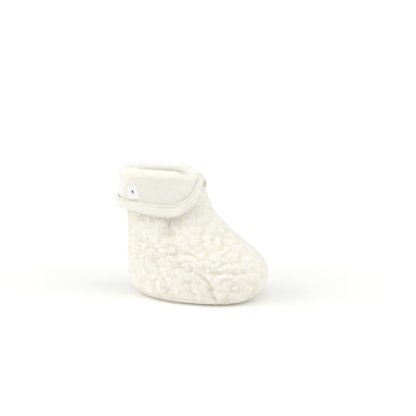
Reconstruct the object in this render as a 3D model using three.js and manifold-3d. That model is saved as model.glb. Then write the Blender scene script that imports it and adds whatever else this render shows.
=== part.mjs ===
// Baby bootie in curly pile fabric, with a plush lining that turns down over the
// shaft as a deep cuff. Millimetres, +X to the toe, +Y to the wearer's left, +Z up.
// The origin is on the ground below the middle of the bounding box.
import * as THREE from "three";
import { mergeVertices } from "three/addons/utils/BufferGeometryUtils.js";
import Module from "manifold-3d";

const wasm = await Module();
wasm.setup();

// Driving dimensions
const FOLD_HEIGHT = 108; // top of the turned-down cuff, sides and back
const FRONT_DIP = 4; // how much lower the fold lies at the front
const CUFF_DROP = 35; // depth of the turned-down cuff at its sides
const BACK_LIFT = 3; // how much less deep it is at the back, where it stands off
const FRONT_DROP = 5.5; // depth of the cuff at the front
const NOTCH_BACK = -22; // x where the cuff's edge starts to rise to the front
const NOTCH_FRONT = 4;
const GAP = 0.3; // clearance between pieces that touch
const SEAM = 1.6; // width of a seam, which holds its sewing thread
const THREAD = 0.9; // thread diameter

// Layers, from the outside in
const PILE = 4.4; // outer fabric with its pile, on the foot
const PILE_PRESSED = 2.3; // the same fabric pressed flat under the cuff
const LINING = 1.8;
const LINING_PRESSED = 1.3;
const WADDING = 3; // padding between the sole and the insole
const CUFF_LEG = 2.6; // each of the cuff's two layers
const BINDING = 1.3; // strip sewn on the cuff's edge
const BINDING_HEIGHT = 9; // at the sides
const BACK_BINDING = 7.6;
const FRONT_BINDING = 4.5;
const LABEL = 0.5;

// Height bands where the layers change
const SOLE_SEAM_Z = 5.5;
const PRESSED_FROM = 52;
const PRESSED_TO = 68;

// Outer surface: horizontal outlines, one row per height.
// back and front are x, half is the half width, bulge squares the outline off,
// ball widens its front half over its back half.
const OUTLINES = [
  { z: 0, back: -35, front: 42, half: 19, bulge: 2.2, ball: 0.14 },
  { z: 2, back: -42.5, front: 49.5, half: 24.5, bulge: 2.2, ball: 0.14 },
  { z: 6, back: -48, front: 55.5, half: 28, bulge: 2.2, ball: 0.14 },
  { z: 12, back: -51, front: 59.8, half: 29.6, bulge: 2.2, ball: 0.13 },
  { z: 21, back: -53, front: 62, half: 30, bulge: 2.2, ball: 0.12 },
  { z: 31, back: -53.2, front: 59.5, half: 29.4, bulge: 2.2, ball: 0.1 },
  { z: 41, back: -53, front: 50.5, half: 27.6, bulge: 2.2, ball: 0.07 },
  { z: 51, back: -52.8, front: 38, half: 25, bulge: 2.25, ball: 0.03 },
  { z: 61, back: -52.8, front: 27, half: 21.2, bulge: 2.35, ball: 0 },
  { z: 71, back: -53, front: 18.5, half: 17, bulge: 2.5, ball: 0 },
  { z: 81, back: -53, front: 14, half: 15.3, bulge: 2.6, ball: 0 },
  { z: 91, back: -53, front: 9.5, half: 15, bulge: 2.6, ball: 0 },
  { z: 99, back: -53, front: 4.5, half: 15, bulge: 2.6, ball: 0 },
  { z: 112, back: -53, front: 4, half: 15, bulge: 2.6, ball: 0 },
];
const AROUND = 40; // points in an outline
const SLICES = [0, 1, 3, 6, 10, 15, 22, 30, 38, 46, 54, 62, 70, 80, 88, 94, 99, 111];

// The vamp's edge, seen from the side: down the shaft, then forward to the sole.
const VAMP_EDGE = new THREE.SplineCurve(
  [
    [-14, 118],
    [-14, 90],
    [-15, 70],
    [-16, 53],
    [-11.5, 42],
    [-2, 34.5],
    [10, 29],
    [19, 21.5],
    [22.5, 10],
    [23, -6],
  ].map(([x, z]) => new THREE.Vector2(x, z)),
);

const { lerp, smoothstep } = THREE.MathUtils;

// The outline at any height, by a smooth curve through the rows of OUTLINES.
function outlineAt(z) {
  const rows = OUTLINES;
  let i = rows.findIndex((row) => row.z > z);
  i = i < 0 ? rows.length - 2 : Math.max(i - 1, 0);
  const [low, high] = [rows[i], rows[i + 1]];
  const [under, over] = [rows[Math.max(i - 1, 0)], rows[Math.min(i + 2, rows.length - 1)]];
  const span = high.z - low.z;
  const t = THREE.MathUtils.clamp((z - low.z) / span, 0, 1);
  const made = {};
  for (const key of ["back", "front", "half", "bulge", "ball"]) {
    const rise = (a, b) => (b.z > a.z ? (b[key] - a[key]) / (b.z - a.z) : 0);
    const slope = (a, b, c) => (rise(a, b) * rise(b, c) > 0 ? rise(a, c) : 0);
    const start = i > 0 ? slope(under, low, high) : rise(low, high);
    const end = slope(low, high, over);
    made[key] =
      low[key] * (2 * t ** 3 - 3 * t ** 2 + 1) +
      high[key] * (3 * t ** 2 - 2 * t ** 3) +
      span * (start * (t ** 3 - 2 * t ** 2 + t) + end * (t ** 3 - t ** 2));
  }
  return made;
}

// A point of an outline, moved inwards by inset, at an angle from the toe.
function onOutline({ back, front, half, bulge, ball }, angle, inset = 0) {
  const [c, s] = [Math.cos(angle), Math.sin(angle)];
  const power = 2 / bulge;
  const across = (half - inset) * (1 + ball * c);
  return new THREE.Vector2(
    (back + front) / 2 + ((front - back) / 2 - inset) * Math.sign(c) * Math.abs(c) ** power,
    across * Math.sign(s) * Math.abs(s) ** power,
  );
}

const angles = (count) => [...Array(count)].map((_, i) => (2 * Math.PI * i) / count);

// A closed surface through rings of points, either capped at its ends or joined in a loop.
function skin(rings, joined = false) {
  const around = rings[0].length;
  const points = rings.flat();
  const faces = [];
  const at = (ring, i) => (ring % rings.length) * around + (i % around);
  for (let r = 0; r < (joined ? rings.length : rings.length - 1); r++) {
    for (let i = 0; i < around; i++) {
      faces.push(at(r, i), at(r, i + 1), at(r + 1, i + 1));
      faces.push(at(r, i), at(r + 1, i + 1), at(r + 1, i));
    }
  }
  if (!joined) {
    const last = rings.length - 1;
    const middle = (ring) =>
      ring.reduce((sum, p) => sum.add(p), new THREE.Vector3()).divideScalar(around);
    const bottom = points.push(middle(rings[0])) - 1;
    const top = points.push(middle(rings[last])) - 1;
    for (let i = 0; i < around; i++) {
      faces.push(bottom, at(0, i + 1), at(0, i), top, at(last, i), at(last, i + 1));
    }
  }
  return new THREE.BufferGeometry().setFromPoints(points).setIndex(faces);
}

// A geometry as a manifold-3d solid, for joining and cutting.
function solidOf(geometry) {
  const bare = geometry.index ? geometry.toNonIndexed() : geometry.clone();
  bare.deleteAttribute("normal");
  bare.deleteAttribute("uv");
  const merged = mergeVertices(bare, 1e-4);
  return new wasm.Manifold(
    new wasm.Mesh({
      numProp: 3,
      vertProperties: new Float32Array(merged.attributes.position.array),
      triVerts: new Uint32Array(merged.index.array),
    }),
  );
}

// The space inside the outer surface moved inwards by side, with its floor raised by under.
function bootSolid(side, under) {
  const rings = SLICES.map((z) => {
    const lift = under * (1 - smoothstep(z, 0, 30));
    return angles(AROUND).map((angle) => {
      const p = onOutline(outlineAt(z), angle, side(z));
      return new THREE.Vector3(p.x, p.y, z + lift);
    });
  });
  return solidOf(skin(rings));
}

// A slab through the whole width, from an outline of [x, z] points.
function slab(points, width = 100) {
  const shape = new THREE.Shape(points.map(([x, z]) => new THREE.Vector2(x, z)));
  const geometry = new THREE.ExtrudeGeometry(shape, { depth: width, bevelEnabled: false });
  return solidOf(geometry.rotateX(Math.PI / 2).translate(0, width / 2, 0));
}

// A box from its lowest and highest corners.
function block([x0, y0, z0], [x1, y1, z1]) {
  const geometry = new THREE.BoxGeometry(x1 - x0, y1 - y0, z1 - z0);
  return solidOf(geometry.translate((x0 + x1) / 2, (y0 + y1) / 2, (z0 + z1) / 2));
}

// Everything in front of the vamp's edge, with the edge moved forward by shift.
function vampSide(shift) {
  const edge = VAMP_EDGE.getPoints(26).map((p, i) => {
    const along = VAMP_EDGE.getTangent(i / 26);
    return [p.x - along.y * shift, p.y + along.x * shift];
  });
  return slab([...edge, [90, -6], [90, 118]]);
}

// Heights along the cuff, as functions of x. The cuff is deep behind the notch
// at the front, whose edges are rounded, and it rises a little at the back.
const notch = (x) =>
  THREE.MathUtils.clamp((x - NOTCH_BACK) / (NOTCH_FRONT - NOTCH_BACK), 0, 1) ** 2;
const heel = (x) => 1 - smoothstep(x, -54, -24);
const foldTop = (x) => FOLD_HEIGHT - FRONT_DIP * smoothstep(x, -12, 5);
const cuffEdge = (x) => foldTop(x) - lerp(CUFF_DROP - BACK_LIFT * heel(x), FRONT_DROP, notch(x));
const bindingTop = (x) =>
  cuffEdge(x) + lerp(lerp(BINDING_HEIGHT, BACK_BINDING, heel(x)), FRONT_BINDING, notch(x));

// Cuff: a band folded over the shaft's top edge, one leg outside and one inside.
// Outside, it follows the shaft and stands further off at the back. Inside, its
// outline is the same at every height, so that it can rise.
const WALL = PILE_PRESSED + GAP + LINING_PRESSED;
const OUTSIDE = [2 * GAP, 2 * GAP + CUFF_LEG];
const INSIDE = [-WALL - 2 * GAP - CUFF_LEG, -WALL - 2 * GAP];
const RIM_OUTLINE = OUTLINES[OUTLINES.length - 1];
const BACK_STAND_OFF = 3.9;
const alongRim = (angle) => onOutline(RIM_OUTLINE, angle).x;
function cuffPoint(angle, out, z) {
  const p = onOutline(out > 0 ? outlineAt(z) : RIM_OUTLINE, angle, -out);
  const backward = Math.max(0, -Math.cos(angle)) ** 2;
  const off = BACK_STAND_OFF * backward * smoothstep(out, INSIDE[1], OUTSIDE[0]);
  return new THREE.Vector3(p.x - off, p.y, z);
}

// A ring whose section, a list of [distance out, height], is given for each angle.
function ringOf(section) {
  return skin(
    angles(AROUND).map((angle) =>
      section(alongRim(angle)).map(([out, z]) => cuffPoint(angle, out, z)),
    ),
    true,
  );
}

// Outer panels, lining and padding
const pressed = (z) => smoothstep(z, PRESSED_FROM, PRESSED_TO);
const pileAt = (z) => lerp(PILE, PILE_PRESSED, pressed(z));
const liningAt = (z) => lerp(LINING, LINING_PRESSED, pressed(z));

// Everything above the shaft's top edge, which lies in the cuff's fold.
const aboveRim = solidOf(
  ringOf((x) => {
    const rim = foldTop(x) - CUFF_LEG - GAP;
    return [
      [-WALL - 1, rim],
      [-WALL - 1, 125],
      [1, 125],
      [1, rim],
    ];
  }),
);
const outer = bootSolid(() => 0, 0)
  .subtract(bootSolid(pileAt, PILE))
  .subtract(aboveRim);
const everythingAbove = (z) => block([-80, -50, z], [90, 50, 130]);
const everythingBelow = (z) => block([-80, -50, -6], [90, 50, z]);
const upper = outer.intersect(everythingAbove(SOLE_SEAM_Z + SEAM / 2));
const quarters = upper.subtract(vampSide(-SEAM / 2));
const leftSide = (gap) => block([-80, gap / 2, -6], [90, 60, 130]);
const rightSide = (gap) => block([-80, -60, -6], [90, -gap / 2, 130]);

const WADDING_FLOOR = PILE + GAP;
const INSOLE_FLOOR = WADDING_FLOOR + WADDING + GAP;
const INSOLE_TOP = INSOLE_FLOOR + LINING;
const inOuter = bootSolid((z) => pileAt(z) + GAP, PILE + GAP);
const inLining = bootSolid((z) => pileAt(z) + GAP + liningAt(z), PILE + GAP + LINING);
const lining = inOuter.subtract(inLining).subtract(aboveRim).intersect(everythingAbove(INSOLE_FLOOR));
const insideLining = bootSolid((z) => pileAt(z) + 2 * GAP + liningAt(z), PILE + GAP + LINING);
const layer = (solid, low, high) => solid.intersect(block([-80, -50, low], [90, 50, high]));

const FOLD_MIDDLE = (INSIDE[0] + OUTSIDE[1]) / 2;
const FOLD_HALF = (OUTSIDE[1] - INSIDE[0]) / 2;
function cuffSection(x) {
  const [top, edge] = [foldTop(x), cuffEdge(x)];
  const arc = [150, 120, 90, 60, 30].map((degrees) => {
    const a = THREE.MathUtils.degToRad(degrees);
    return [FOLD_MIDDLE + FOLD_HALF * Math.cos(a), top - FOLD_HALF * (1 - Math.sin(a)) * 0.8];
  });
  const shoulder = Math.max(top - FOLD_HALF * 0.8, edge + 1.5);
  const upTo = (z) => [0, 1 / 3, 2 / 3, 1].map((t) => lerp(edge, z, t));
  return [
    ...upTo(top - CUFF_LEG).map((z) => [OUTSIDE[0], z]),
    [INSIDE[1], top - CUFF_LEG],
    [INSIDE[1], edge],
    [INSIDE[0], edge],
    [INSIDE[0], shoulder],
    ...arc,
    ...upTo(shoulder)
      .reverse()
      .map((z) => [OUTSIDE[1], z]),
  ];
}
const cuff = solidOf(ringOf(cuffSection));

const BINDING_IN = OUTSIDE[1] + LABEL + 2 * GAP;
const binding = solidOf(
  ringOf((x) => [
    [BINDING_IN, cuffEdge(x)],
    [BINDING_IN, bindingTop(x)],
    [BINDING_IN + BINDING * 0.6, bindingTop(x)],
    [BINDING_IN + BINDING, bindingTop(x) - 1],
    [BINDING_IN + BINDING, cuffEdge(x) + 1],
    [BINDING_IN + BINDING * 0.6, cuffEdge(x)],
  ]),
);

// A thread as a closed loop, through points given for each angle.
function threadLoop(pointAt) {
  const middle = angles(AROUND).map(pointAt);
  const rings = middle.map((p, i) => {
    const next = middle[(i + 1) % AROUND];
    const before = middle[(i + AROUND - 1) % AROUND];
    const along = next.clone().sub(before).normalize();
    const aside = new THREE.Vector3(0, 0, 1).cross(along).normalize();
    const above = along.clone().cross(aside);
    return angles(6).map((a) =>
      p
        .clone()
        .addScaledVector(aside, (THREAD / 2) * Math.cos(a))
        .addScaledVector(above, (THREAD / 2) * Math.sin(a)),
    );
  });
  return solidOf(skin(rings, true));
}

// A thread along an open line of points.
function threadAlong(points) {
  const section = new THREE.Shape(
    angles(6).map((a) => new THREE.Vector2(Math.cos(a), Math.sin(a)).multiplyScalar(THREAD / 2)),
  );
  const extrudePath = new THREE.CatmullRomCurve3(points);
  const steps = Math.round(points.length * 1.5);
  return solidOf(new THREE.ExtrudeGeometry(section, { steps, extrudePath, bevelEnabled: false }));
}

// Threads in the seams of the outer fabric, a little below its surface.
const THREAD_INSET = 1.2;
const soleSeam = threadLoop((angle) => {
  const p = onOutline(outlineAt(SOLE_SEAM_Z), angle, THREAD_INSET);
  return new THREE.Vector3(p.x, p.y, SOLE_SEAM_Z);
});
const heights = (low, high, count) =>
  [...Array(count)].map((_, i) => lerp(low, high, i / (count - 1)));
const backSeam = threadAlong(
  heights(SOLE_SEAM_Z + 4, FOLD_HEIGHT - 8, 16).map(
    (z) => new THREE.Vector3(outlineAt(z).back + THREAD_INSET, 0, z),
  ),
);
function sideSeam(side) {
  const points = VAMP_EDGE.getPoints(40).filter(
    (p) => p.y > SOLE_SEAM_Z + 4 && p.y < FOLD_HEIGHT - 8,
  );
  return threadAlong(
    points.map(({ x, y: z }) => {
      const { back, front, half, bulge, ball } = outlineAt(z);
      const reach = (x - (back + front) / 2) / ((front - back) / 2 - THREAD_INSET);
      const c = Math.sign(reach) * Math.abs(reach) ** (bulge / 2);
      const s = Math.sqrt(1 - c * c);
      const y = (half - THREAD_INSET) * (1 + ball * c) * s ** (2 / bulge);
      return new THREE.Vector3(x, side * y, z);
    }),
  );
}
const bindingStitch = threadLoop((angle) =>
  cuffPoint(angle, BINDING_IN + THREAD / 2, bindingTop(alongRim(angle)) + GAP + THREAD / 2),
);

// Threads that join the cuff's two halves, over the fold from one leg to the other.
function cuffSeam(angle) {
  const [top, edge] = [foldTop(alongRim(angle)), cuffEdge(alongRim(angle))];
  const out = (OUTSIDE[0] + OUTSIDE[1]) / 2;
  const within = (INSIDE[0] + INSIDE[1]) / 2;
  const low = edge + 2;
  const line = [
    [out, low],
    [out, (low + top) / 2 - 1],
    [out - 0.3, top - 2.9],
    [FOLD_MIDDLE, top - 1.2],
    [within + 0.3, top - 2.9],
    [within, (low + top) / 2 - 1],
    [within, low],
  ];
  return threadAlong(line.map(([o, z]) => cuffPoint(angle, o, z)));
}

// Woven label: it lies on the cuff, just above the binding, and bends with it.
const LABEL_AT = 4.12; // angle from the toe, on the wearer's right near the back
const LABEL_WIDTH = 10;
const LABEL_HEIGHT = 12;
const LABEL_LIFT = 1.2;
function labelSolid() {
  const low = bindingTop(alongRim(LABEL_AT)) + LABEL_LIFT;
  const inner = OUTSIDE[1] + GAP;
  const step = 0.02;
  const beside = cuffPoint(LABEL_AT + step, inner, low);
  const spread = (LABEL_WIDTH * step) / beside.distanceTo(cuffPoint(LABEL_AT, inner, low));
  const across = [-0.5, -0.25, 0, 0.25, 0.5].map((t) => LABEL_AT + spread * t);
  const face = (out) => across.map((angle) => cuffPoint(angle, out, low));
  const outline = [...face(inner + LABEL), ...face(inner).reverse()];
  const shape = new THREE.Shape(outline.map((p) => new THREE.Vector2(p.x, p.y)));
  const geometry = new THREE.ExtrudeGeometry(shape, { depth: LABEL_HEIGHT, bevelEnabled: false });
  return solidOf(geometry.translate(0, 0, low));
}

// Materials
const cloth = (color, roughness) =>
  new THREE.MeshStandardMaterial({ color, roughness, metalness: 0 });
const pileCloth = cloth(0xf1efe6, 1);
const plush = cloth(0xf4f3ec, 0.95);
const wadding = cloth(0xf7f7f5, 1);
const strip = cloth(0xf3f2ea, 0.9);
const thread = cloth(0xeeece0, 0.8);
const woven = cloth(0xffffff, 0.7);

const bootie = new THREE.Group();
function add(name, solid, material) {
  const { numProp, vertProperties, triVerts } = solid.getMesh();
  const points = new Float32Array((vertProperties.length / numProp) * 3);
  for (let i = 0; i < points.length / 3; i++) {
    points.set(vertProperties.subarray(i * numProp, i * numProp + 3), i * 3);
  }
  const geometry = new THREE.BufferGeometry();
  geometry.setAttribute("position", new THREE.BufferAttribute(points, 3));
  geometry.setIndex([...triVerts]);
  geometry.computeVertexNormals();
  const mesh = new THREE.Mesh(geometry, material);
  mesh.name = name;
  bootie.add(mesh);
}

add("outer_sole", outer.intersect(everythingBelow(SOLE_SEAM_Z - SEAM / 2)), pileCloth);
add("vamp", upper.intersect(vampSide(SEAM / 2)), pileCloth);
add("left_quarter", quarters.intersect(leftSide(SEAM)), pileCloth);
add("right_quarter", quarters.intersect(rightSide(SEAM)), pileCloth);
add("sole_wadding", layer(inOuter, WADDING_FLOOR, WADDING_FLOOR + WADDING), wadding);
add("insole", layer(insideLining, INSOLE_FLOOR, INSOLE_TOP), plush);
add("left_lining", lining.intersect(leftSide(GAP)), plush);
add("right_lining", lining.intersect(rightSide(GAP)), plush);
add("left_cuff", cuff.intersect(leftSide(SEAM)), plush);
add("right_cuff", cuff.intersect(rightSide(SEAM)), plush);
add("cuff_binding", binding, strip);
add("binding_stitching", bindingStitch, thread);
add("cuff_back_seam", cuffSeam(Math.PI), thread);
add("cuff_front_seam", cuffSeam(0), thread);
add("sole_seam", soleSeam, thread);
add("back_seam", backSeam, thread);
add("left_vamp_seam", sideSeam(1), thread);
add("right_vamp_seam", sideSeam(-1), thread);
add("woven_label", labelSolid(), woven);

export default bootie;
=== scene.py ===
"""Baby bootie: an outer of curly pile, and a plush lining turned down over the shaft as a cuff.

Shapes are worked out in millimetres, with +X to the toe, +Y to the wearer's left and +Z up, and
turned into metres when a mesh is made. An angle goes round the bootie from the toe towards +Y.
"""

import itertools
import math

import bpy
import numpy as np
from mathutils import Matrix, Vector


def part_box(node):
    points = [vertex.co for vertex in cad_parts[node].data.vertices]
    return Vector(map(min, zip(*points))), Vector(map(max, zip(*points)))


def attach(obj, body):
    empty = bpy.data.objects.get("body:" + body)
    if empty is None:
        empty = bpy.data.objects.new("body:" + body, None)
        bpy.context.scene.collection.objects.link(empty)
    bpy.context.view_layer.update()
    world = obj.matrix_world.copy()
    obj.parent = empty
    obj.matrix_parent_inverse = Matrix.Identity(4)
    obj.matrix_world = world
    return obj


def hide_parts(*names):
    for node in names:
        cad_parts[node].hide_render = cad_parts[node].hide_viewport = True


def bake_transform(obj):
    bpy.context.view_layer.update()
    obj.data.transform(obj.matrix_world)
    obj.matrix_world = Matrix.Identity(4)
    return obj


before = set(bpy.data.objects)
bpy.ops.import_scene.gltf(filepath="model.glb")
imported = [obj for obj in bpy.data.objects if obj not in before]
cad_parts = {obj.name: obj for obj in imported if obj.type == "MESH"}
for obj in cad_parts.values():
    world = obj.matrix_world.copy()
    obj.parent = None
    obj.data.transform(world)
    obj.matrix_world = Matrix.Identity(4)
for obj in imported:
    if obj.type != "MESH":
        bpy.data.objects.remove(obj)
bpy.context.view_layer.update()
MM = 0.001


def lowest(node):
    return np.array(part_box(node)[0]) / MM


def highest(node):
    return np.array(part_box(node)[1]) / MM


# Sizes of the bootie, in millimetres
FOLD_HEIGHT = highest("left_cuff")[2]  # top of the turned-down cuff
FRONT_DIP = 4.0  # how much lower the fold lies at the front
CUFF_DROP = FOLD_HEIGHT - lowest("left_cuff")[2]
BACK_LIFT = 3.0  # how much less deep the cuff is at the back
FRONT_DROP = 5.5  # depth of the cuff at the front
SOLE_SEAM_Z = 5.5  # height of the seam round the sole
PILE = 4.4  # thickness of the outer fabric
PILE_PRESSED = 2.3  # the same under the cuff
LINING = 1.8  # thickness of the lining
LINING_PRESSED = 1.3  # the same under the cuff
GAP = 0.3  # clearance between pieces that touch
WALL = PILE_PRESSED + GAP + LINING_PRESSED
CUFF_LEG = 2.6  # each of the cuff's two layers
OUTSIDE = 2 * GAP + CUFF_LEG  # outer face of the cuff, from the shaft's surface
INSIDE = WALL + 2 * GAP + CUFF_LEG  # inner face of the cuff, inwards from there
BINDING_HEIGHT = 9.0  # at the sides
BACK_BINDING = 7.6
FRONT_BINDING = 4.5
BINDING = 1.3  # thickness of the strip on the cuff's edge
BINDING_GAP = 0.2  # from the cuff's face to the strip
BACK_STAND_OFF = 3.9  # how far the cuff stands off behind the heel

# The cuff's edge rises to the front between these places, along x
NOTCH_BACK = -22.0
NOTCH_FRONT = 4.0

# Horizontal outlines of the outer surface: z, back, front, half width, bulge, ball
OUTLINES = np.array(
    [
        [0, -35, 42, 19, 2.2, 0.14],
        [2, -42.5, 49.5, 24.5, 2.2, 0.14],
        [6, -48, 55.5, 28, 2.2, 0.14],
        [12, -51, 59.8, 29.6, 2.2, 0.13],
        [21, -53, 62, 30, 2.2, 0.12],
        [31, -53.2, 59.5, 29.4, 2.2, 0.1],
        [41, -53, 50.5, 27.6, 2.2, 0.07],
        [51, -52.8, 38, 25, 2.25, 0.03],
        [61, -52.8, 27, 21.2, 2.35, 0],
        [71, -53, 18.5, 17, 2.5, 0],
        [81, -53, 14, 15.3, 2.6, 0],
        [91, -53, 9.5, 15, 2.6, 0],
        [99, -53, 4.5, 15, 2.6, 0],
        [112, -53, 4, 15, 2.6, 0],
    ]
)
RIM = OUTLINES[-1, 0]

# The vamp's edge, seen from the side: height, x
VAMP_EDGE = np.array(
    [
        [-6, 23],
        [10, 22.5],
        [21.5, 19],
        [29, 10],
        [34.5, -2],
        [42, -11.5],
        [53, -16],
        [70, -15],
        [90, -14],
        [118, -14],
    ]
)


def smoothstep(value, low, high):
    t = np.clip((value - low) / (high - low), 0, 1)
    return t * t * (3 - 2 * t)


def lerp(a, b, t):
    return a + (b - a) * t


def follow(table, z):
    """The columns of a table at heights z, by a smooth curve through its rows."""
    z = np.asarray(z, float)
    heights, values = table[:, 0], table[:, 1:]
    rise = np.diff(values, axis=0) / np.diff(heights)[:, None]
    across = (values[2:] - values[:-2]) / (heights[2:] - heights[:-2])[:, None]
    slope = np.zeros_like(values)
    slope[0] = rise[0]
    slope[1:-1] = np.where(rise[1:] * rise[:-1] > 0, across, 0)
    i = np.clip(np.searchsorted(heights, z, side="right") - 1, 0, len(heights) - 2)
    span = (heights[i + 1] - heights[i])[..., None]
    t = np.clip((z - heights[i])[..., None] / span, 0, 1)
    start, end = 2 * t**3 - 3 * t**2 + 1, 3 * t**2 - 2 * t**3
    return (
        values[i] * start
        + values[i + 1] * end
        + span * (slope[i] * (t**3 - 2 * t**2 + t) + slope[i + 1] * (t**3 - t**2))
    )


def wall(angle, z, out=0.0):
    """Points of the outer surface at heights z, moved outwards by out."""
    angle, z, out = np.broadcast_arrays(angle, z, out)
    back, front, half, bulge, ball = np.moveaxis(follow(OUTLINES, z), -1, 0)
    c, s = np.cos(angle), np.sin(angle)
    x = (back + front) / 2 + ((front - back) / 2 + out) * np.sign(c) * np.abs(c) ** (2 / bulge)
    y = (half + out) * (1 + ball * c) * np.sign(s) * np.abs(s) ** (2 / bulge)
    return np.stack([x, y, z], -1)


def vamp_angle(z):
    """The angle at which the vamp's edge lies, at heights z."""
    x = follow(VAMP_EDGE, z)[..., 0]
    back, front, _, bulge, _ = np.moveaxis(follow(OUTLINES, z), -1, 0)
    reach = (x - (back + front) / 2) / ((front - back) / 2)
    return np.arccos(np.sign(reach) * np.abs(reach) ** (bulge / 2))


def along_rim(angle):
    return wall(angle, RIM)[..., 0]


def notch(x):
    return np.clip((x - NOTCH_BACK) / (NOTCH_FRONT - NOTCH_BACK), 0, 1) ** 2


def heel(x):
    return 1 - smoothstep(x, -54, -24)


def fold_top(x):
    return FOLD_HEIGHT - FRONT_DIP * smoothstep(x, -12, 5)


def cuff_edge(x):
    return fold_top(x) - lerp(CUFF_DROP - BACK_LIFT * heel(x), FRONT_DROP, notch(x))


def binding_top(x):
    return cuff_edge(x) + lerp(lerp(BINDING_HEIGHT, BACK_BINDING, heel(x)), FRONT_BINDING, notch(x))


def pressed(z):
    return smoothstep(z, 52, 68)


def pile_at(z):
    return lerp(PILE, PILE_PRESSED, pressed(z))


def lining_at(z):
    return lerp(LINING, LINING_PRESSED, pressed(z))


# Noise, the same on every run


def scatter(cell, seed):
    """Three numbers from 0 to 1 for each cell of a lattice."""
    mix = np.array([[127.1, 311.7, 74.7], [269.5, 183.3, 246.1], [113.5, 271.9, 124.6]])
    value = np.sin(cell @ mix + seed * 17.31) * 43758.5453
    return value - np.floor(value)


def drift(points, size, seed):
    """Soft noise from -1 to 1, with lumps of the given size."""
    p = points / size
    base = np.floor(p)
    t = p - base
    t = t * t * (3 - 2 * t)
    total = np.zeros(points.shape[:-1])
    for corner in itertools.product((0, 1), repeat=3):
        share = np.prod(np.where(corner, t, 1 - t), axis=-1)
        total += share * scatter(base + corner, seed)[..., 0]
    return 2 * total - 1


def knobs(points, size, seed):
    """Soft round knobs of different sizes that run into each other, from 0 to 1."""
    p = points / size
    base = np.floor(p)
    total = np.zeros(points.shape[:-1])
    for step in itertools.product((-1, 0, 1), repeat=3):
        cell = base + step
        spot = scatter(cell, seed)
        radius = 0.66 + 0.36 * scatter(cell, seed + 50)[..., 0]
        away = np.linalg.norm(cell + spot - p, axis=-1) / radius
        total += np.clip(1 - away**2, 0, 1) ** 3
    return np.clip(total, 0, 1) ** (1 / 3)


def curls(points):
    """Height of the curly pile, from 0 in its creases to 1. Its knobs are wider than they are high."""
    swirl = np.stack([drift(points, 3.4, seed) for seed in (1, 2, 3)], -1)
    bent = points + 0.8 * swirl
    big = knobs(bent * [1, 1, 1.3], 5.4, 4)
    small = knobs(bent + 0.6 * swirl[..., ::-1], 2.3, 5)
    worms = 1 - np.abs(drift(bent + 1.5 * swirl, 1.7, 6)) * 2.2
    return np.clip(0.66 * big + 0.3 * small * (0.45 + 0.55 * big) + 0.09 * worms, 0, 1)


# Meshes


def add_mesh(name, points, faces, material, shade=None):
    """A smooth mesh from points in millimetres. shade is a number per point: painted shade that the
    pile's material reads.
    """
    mesh = bpy.data.meshes.new(name)
    mesh.from_pydata((points * MM).tolist(), [], faces)
    mesh.shade_smooth()
    if shade is not None:
        values = mesh.attributes.new("shade", "FLOAT", "POINT").data
        values.foreach_set("value", shade.astype(np.float32))
    mesh.materials.append(material)
    made = bpy.data.objects.new(name, mesh)
    bpy.context.scene.collection.objects.link(made)
    return made


def quads(rows, columns, start=0, closed=False):
    """Faces of a grid of points numbered from start. closed joins the last column to the first."""
    r, c = np.meshgrid(np.arange(rows - 1), np.arange(columns - (not closed)), indexing="ij")
    right = (c + 1) % columns
    corner = [r * columns + c, r * columns + right, (r + 1) * columns + right, (r + 1) * columns + c]
    return np.stack(corner, -1).reshape(-1, 4) + start


def border(rows, columns, start=0):
    """The grid's border, as a loop of point numbers."""
    top, right = (rows - 1) * columns, columns - 1
    loop = [np.arange(columns - 1), right + columns * np.arange(rows - 1)]
    loop += [top + np.arange(right, 0, -1), columns * np.arange(rows - 1, 0, -1)]
    return np.concatenate(loop) + start


def shell(name, outside, inside, step, material, shade=None):
    """A closed sheet between a fine outer grid and an inner grid with a point for every step-th one."""
    rows, columns = outside.shape[:2]
    few, fewer = inside.shape[:2]
    start = rows * columns
    outer, inner = border(rows, columns), border(few, fewer, start)
    faces = quads(rows, columns).tolist() + quads(few, fewer, start)[:, ::-1].tolist()
    for k, low in enumerate(inner):
        high = inner[(k + 1) % len(inner)]
        edge = [int(outer[(k * step + j) % len(outer)]) for j in range(step + 1)]
        half = step // 2
        for j in range(step):
            faces.append([edge[j + 1], edge[j], int(low if j < half else high)])
        faces.append([int(low), int(high), edge[half]])
    points = np.concatenate([outside.reshape(-1, 3), inside.reshape(-1, 3)])
    if shade is not None:
        shade = np.concatenate([shade.ravel(), np.full(few * fewer, shade.mean())])
    return add_mesh(name, points, faces, material, shade)


def sheet(name, face, back, material):
    """A closed sheet between two grids with the same number of points."""
    rows, columns = face.shape[:2]
    start = rows * columns
    faces = quads(rows, columns).tolist() + quads(rows, columns, start)[:, ::-1].tolist()
    outer, inner = border(rows, columns), border(rows, columns, start)
    for k in range(len(outer)):
        j = (k + 1) % len(outer)
        faces.append([int(outer[j]), int(outer[k]), int(inner[k]), int(inner[j])])
    points = np.concatenate([face.reshape(-1, 3), back.reshape(-1, 3)])
    return add_mesh(name, points, faces, material)


def capped(rings, around):
    """Faces through rings of points. A fan closes each end, from the two points that come last."""
    faces = quads(rings, around, closed=True).tolist()
    first, last = rings * around, rings * around + 1
    base = (rings - 1) * around
    for i in range(around):
        j = (i + 1) % around
        faces.append([first, j, i])
        faces.append([last, base + i, base + j])
    return faces


def normals(grid):
    """Outward directions of a grid whose rows go up and whose columns go round."""
    n = np.cross(np.gradient(grid, axis=1), np.gradient(grid, axis=0))
    return n / np.maximum(np.linalg.norm(n, axis=-1, keepdims=True), 1e-9)


def reach(grid, axis):
    """How far each point of a grid is from the grid's two edges along an axis, in millimetres."""
    step = np.linalg.norm(np.diff(grid, axis=axis), axis=-1)
    zero = np.zeros_like(np.take(step, [0], axis=axis))
    passed = np.concatenate([zero, np.cumsum(step, axis=axis)], axis=axis)
    return passed, np.take(passed, [-1], axis=axis) - passed


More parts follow.
